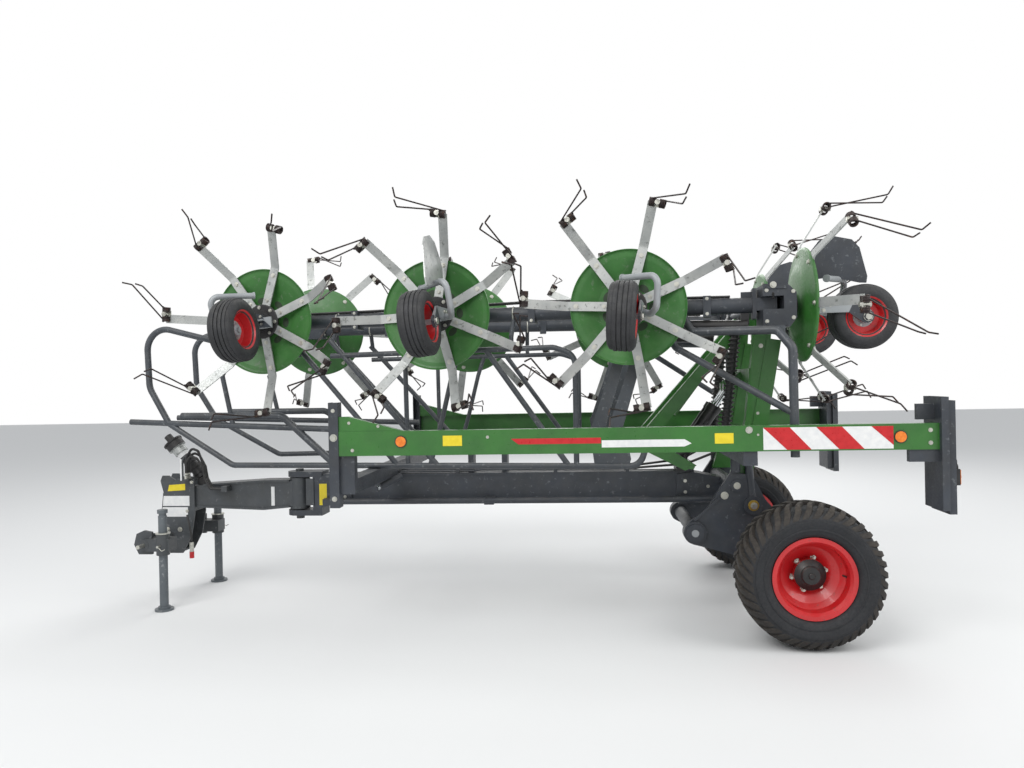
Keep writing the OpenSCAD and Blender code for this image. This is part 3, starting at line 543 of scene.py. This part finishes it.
def decals(side, s):
    """Stickers, stripes, reflectors and bolts on a side beam's outer face."""
    d = Shape()
    flat = facing(0, -BEAM_Y, 0, "-y")
    red, white, amber, yellow, plastic, zinc = range(6)

    def plate(points, mat, lift=0.0):
        d.prism(points, lift, lift + 1.2, mat, flat)

    def block(x0, x1, z0, z1, mat):
        plate([(x0, z0), (x1, z0), (x1, z1), (x0, z1)], mat)

    mid = BEAM_TOP - BEAM_H / 2
    block(-304, -188, mid - 20, mid + 42, yellow)
    block(1290, 1396, mid - 26, mid + 34, yellow)
    # plain red wedge and white band with a pointed end
    plate([(106, mid + 18), (150, mid - 16), (636, mid - 16), (636, mid + 18)], red)
    plate([(640, mid - 40), (1118, mid - 40), (1158, mid - 22), (1118, mid + 2), (640, mid + 2)], white)
    # red and white warning stripes at the rear
    lo, hi = mid - 66, mid + 62
    block(1563, 2279, lo, hi, white)
    for band in (((1563, hi), (1711, hi), (1830, lo), (1694, lo)), ((1858, hi), (2000, hi), (2120, lo), (1983, lo)),
                 ((2160, hi), (2279, hi), (2279, lo + 20))):
        plate(list(reversed(band)), red, 1.2)
    for x, z in ((-560, mid + 10), (2318, mid)):
        around = facing(x, -BEAM_Y, z, "-y")
        d.round(36, 0, 5, 36, plastic, around)
        d.round(31, 5, 8, 36, amber, around)
    for x, z, size in ((1484, BEAM_TOP - 24, 15), (-34, BEAM_TOP - 44, 7), (1534, BEAM_TOP - 52, 5),
                       (-860, mid - 40, 8), (-880, BEAM_TOP + 52, 7), (-700, BEAM_TOP + 30, 7),
                       (2480, mid + 36, 9), (2480, mid - 36, 9)):
        d.stud((x, -BEAM_Y if z < BEAM_TOP else -1165, z), "-y", size, size * 0.7, zinc)
    d.piece("beam_stickers_" + side, ["stripe", "white", "amber", "yellow", "plastic", "zinc"], "chassis",
            side_frame(s))


# place and size of the bolts that look outwards
CHASSIS_BOLTS = (
    (-975, -1176, BEAM_TOP - 36, 17), (-975, -1176, 905, 12), (-975, -1176, 1440, 9), (1456, -450, 806, 19),
    (1800, -450, 420, 13), (-1350, -90, 905, 9), (-1260, -90, 905, 9), (-1350, -90, 760, 9), (-1260, -90, 760, 9),
    (1240, -90, 860, 9), (1240, -90, 780, 9), (1400, -90, 820, 9), (1660, -405, 1240, 11), (1690, -405, 1350, 11),
    (1720, -405, 1800, 11), (1740, -405, 1900, 11))
SWING_BOSS, TUBE_BOSS, PIVOT = (1640, -450, 741), (1536, -450, 872), (1255, -480, 560)


def chassis_bolts(side, s):
    """Bolts, bosses, pipes and links of the chassis."""
    t = Shape()
    zinc, dark, gold, light, chrome = range(5)
    for x, y, z, size in CHASSIS_BOLTS:
        t.stud((x, y, z), "-y", size, size * 0.7, zinc)
    # bosses of the axle frame: the gold nut, the dark boss and the pivot's cap
    t.round(62, 0, 16, 40, dark, facing(*SWING_BOSS, "-y"))
    t.stud(SWING_BOSS, "-y", 27, 16, gold, 16)
    t.stud(SWING_BOSS, "-y", 17, 16, zinc, 32)
    # tube from the cross member down to the gold nut's boss
    t.tube([(1604, -436, 1165), (1622, -436, 960), (1638, -436, 790)], 27, 20, dark, None, 60)
    t.round(40, 0, 14, 36, dark, facing(*TUBE_BOSS, "-y"))
    t.stud(TUBE_BOSS, "-y", 17, 10, zinc, 14)
    t.round(60, 0, 10, 40, dark, facing(*PIVOT, "-y"))
    t.round(24, 10, 14, 32, light, facing(*PIVOT, "-y"))
    # stiffening bar across the axle plate
    t.box((1330, -462, 600), (1344, -450, 830), dark,
          Matrix.Translation((1337, 0, 715)) @ turn(48, "Y") @ Matrix.Translation((-1337, 0, -715)))
    # hinge block's pins and gearbox screws
    for z in (2152, 1882):
        t.stud((1700, -883, z), "-y", 15, 12, zinc)
    for x, z in ((1662, 2120), (1662, 1930), (1820, 2110), (1820, 1950)):
        t.stud((x, -875, z), "-y", 9, 7, zinc)
    # rods and pipes along the main beam, with their clamps
    for y in (-66, -50):
        t.tube([(-1100, y, 944), (-300, y, 944), (-240, y, 952), (900, y, 952)], 7, 8, dark, None, 30)
    for x in (-1000, -420, 300, 820):
        t.box((x, -78, 930), (x + 26, -38, 960), dark)
    # link from the front post to the main beam
    t.tube([(-925, -330, 865), (-800, -210, 925)], 26, 20, dark)
    t.tube([(-950, -354, 853), (-925, -330, 865)], 15, 16, chrome)
    t.round(22, -14, 14, 24, dark, facing(-952, -356, 852, "-y"))
    t.piece("chassis_bolts_" + side, ["zinc", "dark", "gold", "light", "chrome"], "chassis", side_frame(s))


def supply_hoses(side, s):
    """Hoses from the beam up the lift columns, and down to the cylinders."""
    h = Shape()
    for k in range(3):
        y = -268 - 13 * k
        h.tube([(880, -70 - 12 * k, 956), (1240, -150 - 12 * k, 990), (1440, -230 - 12 * k, 1080),
                (1500, y, 1180)],
               7, 8, 0, None, 120)
        h.tube([(1588, y + 20, 1940), (1610, y, 2010), (1650, -420 - 20 * k, 2060), (1680, -660, 2112 + 14 * k),
                (1712, -800, 2150 + 12 * k), (1700, -880, 2070 + 12 * k)], 7, 8, 0, None, 90)
    h.tube([(1240, -112, 1050), (1200, -150, 1120), (1240, -190, 1010), (1180, -120, 960)], 7, 8, 0, None, 50)
    h.piece("supply_hoses_" + side, ["plastic"], "chassis", side_frame(s))


def hose_coil(side, s):
    """The coiled guard around the hoses at a lift column, with its collars."""
    c = Shape()
    at = Matrix.Translation((1492, -252, 1163.8)) @ turn(7, "Y")
    c.sweep([Vector((x, y, 10 + 758 * share)) for x, y, share in coil(36, 24, 24 * 20)], 5.6, 7, 0, at)
    c.round(28, 0, 780, 24, 1, at)
    for z in (0, 762):
        c.round(41, z, z + 18, 28, 1, at)
    c.piece("hose_coil_" + side, ["plastic", "black"], "chassis", side_frame(s),
            replaces=["hose_spiral"] if s < 0 else ())


def rear_lamp(side, s):
    """Red, amber and clear fields under one lens."""
    lamp = Shape()
    plastic, red, amber, clear = range(4)
    back = facing(2646, -1096, 1004, "+x")
    lamp.box((-46, -56, -33), (46, 56, -2), plastic, back)
    lamp.round(20, -30, 3, 24, plastic, back @ Matrix.Translation((-52, 0, 0)))
    for y0, y1, mat in ((-52, -18, amber), (-16, 18, red), (20, 52, red)):
        lamp.box((-41, y0, -2), (41, y1, 3), mat, back)
    for y, mat in ((-26, red), (28, clear)):
        lamp.round(20, 3, 7, 32, mat, back @ Matrix.Translation((0, y, 0)))
    lamp.piece("rear_lamp_" + side, ["plastic", "lamp", "amber", "white"], "chassis", side_frame(s),
               replaces=["tail_lamps"] if s < 0 else ())


# Wings


def wing_trim(side, s):
    """Bolts, collars, caps and cables in the wing's frame."""
    t = Shape()
    zinc, dark = range(2)
    at = wing_frame(s)
    for row in ROWS[1:]:
        u = row.u
        for m in (-1, 1):
            for k in range(6):
                a = math.pi / 3 * k + 0.2
                t.stud((u + m * 99, 64 * math.cos(a), -LIFT + 64 * math.sin(a)), "+x" if m > 0 else "-x", 8, 6)
        for v, way in ((75, "+y"), (-75, "-y")):
            for du in (-60, 60):
                t.stud((u + du, v, -LIFT - 30), way, 8, 6)
        for x, y in circle(68, 8):
            t.bolt(x + u, y, -92, 5, 5, zinc, None, -1)
        # ribs of the housing
        for du in (-36, 0, 36):
            t.box((u + du - 4, -80, -LIFT - 40), (u + du + 4, 80, -LIFT - 20), dark)
    # clamps at the boom's brackets and the guard's feet
    for u in (420, 1550, 2800):
        for v in (-48, 48):
            t.bolt(u + 23, v, -159, 8, 7)
    ring = [Vector((0, 51.5 * math.cos(a), 51.5 * math.sin(a)))
            for a in [math.radians(8 * i) for i in range(46)]]
    for u in (3560, 3248, 2969, 2440, 1700, 1050, 800):
        t.sweep(ring, 5, 8, zinc, Matrix.Translation((u, 0, -LIFT)))
    t.piece("wing_bolts_" + side, ["zinc", "dark"], "chassis", at)
    # cables beside the boom, tied at the brackets
    c = Shape()
    for v, w in ((-58, -LIFT + 20), (-62, -LIFT - 4), (-55, -LIFT - 26)):
        c.tube([(300, v, w), (700, v - 6, w + 3), (1550, v - 22, w), (2400, v - 6, w + 4), (3180, v, w)],
               6, 8, 0, None, 60)
    c.piece("wing_cables_" + side, ["plastic"], "chassis", at)


# Drawbar

PLATE_Y = 90.0   # outer face of the headstock's plates
COUPLER = (-2424, -176, 440)


def front_trim():
    """Headstock and drawbar: blank plates, bolts, lever, coupler and taps."""
    t = Shape()
    zinc, plastic, yellow, white, head, red = range(6)
    left = Matrix.Translation((0, -PLATE_Y, 0)) @ FACE["-y"]
    for points, mat in (([(-2652, 812), (-2512, 820), (-2512, 868), (-2640, 860)], yellow),
                        ([(-2694, 700), (-2480, 700), (-2480, 776), (-2686, 776)], white),
                        ([(-2700, 618), (-2494, 618), (-2494, 690), (-2696, 690)], white)):
        t.prism(points, 0, 1.2, mat, left)
    for y, way in ((-PLATE_Y, "-y"), (PLATE_Y, "+y")):
        for x, z in ((-2660, 520), (-2560, 520), (-2500, 660), (-2460, 880)):
            t.stud((x, y, z), way, 14 if z < 600 else 9, 9)
    # light strip and dark plate beside the steering pivot
    t.box((-1842, -67, 694), (-1816, -65, 838), white)
    t.box((-1560, -94, 700), (-1500, -88, 900), head)
    # lever, taps and a hanging coupler with a red grip
    t.box((-2516, -152, 900), (-2504, -146, 1062), white)
    for k in range(3):
        tap = facing(-2478, -92 - 22 * k, 910, "+z")
        t.round(13, 0, 26, 6, zinc, tap)
        t.round(11, 30, 44, 16, zinc, tap)
    t.tube([(-2470, -150, 640), (-2440, -172, 560), (-2424, -176, 480), COUPLER], 7, 10, plastic, None, 40)
    t.round(15, -70, 0, 20, zinc, facing(*COUPLER, "+z"))
    t.round(17, -118, -70, 20, red, facing(*COUPLER, "+z"))
    t.piece("front_trim", ["zinc", "plastic", "yellow", "white", "head", "stripe"], "drawbar_unit", HERE)
    plate = Shape()
    plate.box((-1458, -90.5, 700), (-1400, -89.3, 860))
    plate.piece("front_plate", ["yellow"], "chassis", HERE)
    # pins and clips of the stands
    for side, s in SIDES:
        p = Shape()
        p.tube([(-2510, -500, 470), (-2510, -340, 470)], 9, 12)
        p.tube([(-2510, -492, 470), (-2478, -496, 440), (-2456, -496, 452)], 3, 8, 0, None, 10)
        p.round(52, 552, 560, 36, 0, Matrix.Translation((-2510, -420, 0)))
        p.piece("stand_pin_" + side, ["zinc"], "drawbar_unit", side_frame(s))


# Road wheels

# half of the carcass as (radius, distance from the middle), with the rings on its flank
CARCASS = [(209, 128), (221, 144), (242, 147), (246, 158), (253, 168), (263, 176), (282, 181), (284, 184),
           (292, 184), (294, 182), (325, 190), (338, 189), (341, 185), (348, 185), (366, 176), (384, 156),
           (398, 122), (404, 60)]
# stations of a lug: distance from the middle, radius, turn in degrees, half its width at the top
LUG = [(2, 424.5, 0.0, 12), (36, 424, 2.6, 12), (70, 422.5, 4.6, 12.5), (100, 419.5, 6.0, 13),
       (128, 413, 7.0, 14), (150, 403, 8.0, 16), (166, 390, 9.4, 18), (177, 373, 11.4, 19),
       (183, 354, 13.6, 17)]
LUGS = 40
LUG_DEPTH, LUG_FLARE = 20, 6   # down to the carcass, and how much wider each flank is there


def lug(m, start):
    """One curved lug on half m of the tread, its section four points at each station."""
    verts, faces = [], []
    for z, r, phi, w in LUG:
        mid = start + math.radians(phi)
        foot_r, foot_w = r - LUG_DEPTH, w + LUG_FLARE
        for rr, d in ((foot_r, foot_w), (r, w), (r, -w), (foot_r, -foot_w)):
            verts.append((rr * math.cos(mid + d / r), rr * math.sin(mid + d / r),
                          m * (z - (12 if rr < r and z > 160 else 0))))
    n = len(LUG)
    for i in range(n - 1):
        faces += [(4 * i + j, 4 * i + (j + 1) % 4, 4 * i + 4 + (j + 1) % 4, 4 * i + 4 + j) for j in range(4)]
    faces += [(3, 2, 1, 0), tuple(4 * (n - 1) + j for j in range(4))]
    return verts, faces if m > 0 else [tuple(reversed(face)) for face in faces]


def wheel_trim(side, s):
    """Hub cap, studs and valve of a road wheel, and its tyre."""
    body, at = "wheel_" + side, wheel_frame(s)
    hub = Shape()
    hub.lathe([(0.5, 66), (58, 66), (58, 76), (50, 84), (28, 87), (0.5, 87)], 48)
    hub.lathe([(0.5, 87), (18, 87), (18, 93), (14, 97), (0.5, 97)], 32)
    for k in range(6):
        here = turn(60 * k + 12, "Z")
        hub.bolt(101, 0, 4, 13, 15, 1, here)
        hub.round(7, 6, 34, 12, 1, here @ Matrix.Translation((101, 0, 0)))
    hub.tube([(182, 0, 60), (190, 0, 92)], 5, 10, 2)
    hub.piece("wheel_hub_" + side, ["black", "zinc", "plastic"], body, at)

    tyre = Shape()
    tyre.lathe([(r, -z) for r, z in CARCASS] + [(r, z) for r, z in reversed(CARCASS)], 144)
    for m in (-1, 1):
        for k in range(LUGS):
            tyre.add(*lug(m, math.radians(9 * k + (4.5 if m > 0 else 0))), 1)
    tyre.piece("road_tyre_" + side, ["rubber", "tread"], body, at, 28, replaces=["tyre_" + side])


# The whole machine


def dress():
    """Every piece over the CAD frame."""
    for side, s in SIDES:
        for row in range(len(ROWS)):
            rotor(side, s, row)
            castor(side, s, row)

    paint("dark", "main_frame", "axle_frame", "cross_frame", "end_boards", "rear_boom", "wing_boom_left",
          "wing_boom_right", "gearboxes")
    paint("tube", "wing_guard_left", "wing_guard_right", "rear_guards")
    paint("green", "side_beams", "lift_frame")
    paint("plastic", "hoses")
    paint("head", "drawbar")
    paint("stand", "stand_left", "stand_right")
    recolour("pto_shaft", ["plastic", "white", "galv"], pto_rule, "drawbar_unit", HERE)
    recolour("headstock", ["head", "zinc"], headstock_rule, "drawbar_unit", HERE)
    recolour("lift_cylinder", ["black", "chrome"], lift_rod_rule, "chassis", HERE)
    for side, s in SIDES:
        recolour("rim_" + side, ["red", "black"], rim_rule, "wheel_" + side, wheel_frame(s))

    front_trim()
    for side, s in SIDES:
        for make in (decals, chassis_bolts, supply_hoses, hose_coil, rear_lamp, wing_trim, wheel_trim):
            make(side, s)
    recolour("fold_cylinders", ["black", "chrome"], fold_rod_rule, "chassis", HERE)


# Studio

# each lamp: name, place, width and power
LAMPS = (("key", (-3.5, -7.5, 8.0), 6.0, 620), ("fill", (7.0, -4.0, 5.0), 5.0, 240),
         ("back", (1.0, 7.5, 7.0), 6.0, 380))
AIM = Vector((0, 0, 1.0))


def studio():
    """A pale floor, a white backdrop and three soft lamps."""
    bpy.ops.mesh.primitive_plane_add(size=60, location=(0, 0, 0))
    floor = bpy.context.object
    floor.name = "studio_floor"
    m = bpy.data.materials.new("studio_floor")
    m.use_nodes = True
    bsdf = m.node_tree.nodes["Principled BSDF"]
    bsdf.inputs["Base Color"].default_value = (0.78, 0.78, 0.77, 1)
    bsdf.inputs["Roughness"].default_value = 0.85
    floor.data.materials.append(m)

    world = bpy.data.worlds.new("studio")
    bpy.context.scene.world = world
    world.use_nodes = True
    t = world.node_tree
    t.nodes.clear()
    out = t.nodes.new("ShaderNodeOutputWorld")
    path = t.nodes.new("ShaderNodeLightPath")
    soft, white = t.nodes.new("ShaderNodeBackground"), t.nodes.new("ShaderNodeBackground")
    soft.inputs["Color"].default_value = (0.93, 0.96, 1.0, 1)
    soft.inputs["Strength"].default_value = 0.62
    white.inputs["Color"].default_value = (1, 1, 1, 1)
    # the camera and bright metal see white, and all else takes the soft light
    seen = path.outputs["Is Camera Ray"]
    for name in ("Is Glossy Ray", "Is Transmission Ray"):
        add = t.nodes.new("ShaderNodeMath")
        add.operation = "MAXIMUM"
        t.links.new(seen, add.inputs[0])
        t.links.new(path.outputs[name], add.inputs[1])
        seen = add.outputs["Value"]
    choose = t.nodes.new("ShaderNodeMixShader")
    t.links.new(seen, choose.inputs["Fac"])
    t.links.new(soft.outputs["Background"], choose.inputs[1])
    t.links.new(white.outputs["Background"], choose.inputs[2])
    t.links.new(choose.outputs["Shader"], out.inputs["Surface"])

    for name, place, size, power in LAMPS:
        data = bpy.data.lights.new(name, "AREA")
        data.size, data.energy = size, power
        lamp = bpy.data.objects.new(name, data)
        bpy.context.collection.objects.link(lamp)
        lamp.location = place
        lamp.rotation_euler = (AIM - Vector(place)).to_track_quat("-Z", "Y").to_euler()


# fitted to points on both sides of the machine
YAW, PITCH_UP, ROLL = math.radians(5.75), math.radians(-0.15), math.radians(-1.20)
CAMERA_AT = (0.586 + SHIFT, -5.807, 1.593)
FOCAL_PX, SENSOR_MM = 786.4, 36
IMAGE = (1024, 768)


def camera():
    """The camera of the photograph."""
    ahead = Vector((-math.sin(YAW) * math.cos(PITCH_UP), math.cos(YAW) * math.cos(PITCH_UP), math.sin(PITCH_UP)))
    right = Vector((math.cos(YAW), math.sin(YAW), 0))
    up = right.cross(ahead)
    right, up = (math.cos(ROLL) * right + math.sin(ROLL) * up, -math.sin(ROLL) * right + math.cos(ROLL) * up)
    data = bpy.data.cameras.new("camera")
    data.sensor_width = SENSOR_MM
    data.lens = FOCAL_PX / IMAGE[0] * SENSOR_MM
    o = bpy.data.objects.new("camera", data)
    bpy.context.collection.objects.link(o)
    o.matrix_world = Matrix.Translation(CAMERA_AT) @ Matrix((right, up, -ahead)).transposed().to_4x4()
    scene = bpy.context.scene
    scene.camera = o
    scene.render.resolution_x, scene.render.resolution_y = IMAGE
    scene.view_settings.view_transform = "Standard"


dress()
studio()
camera()
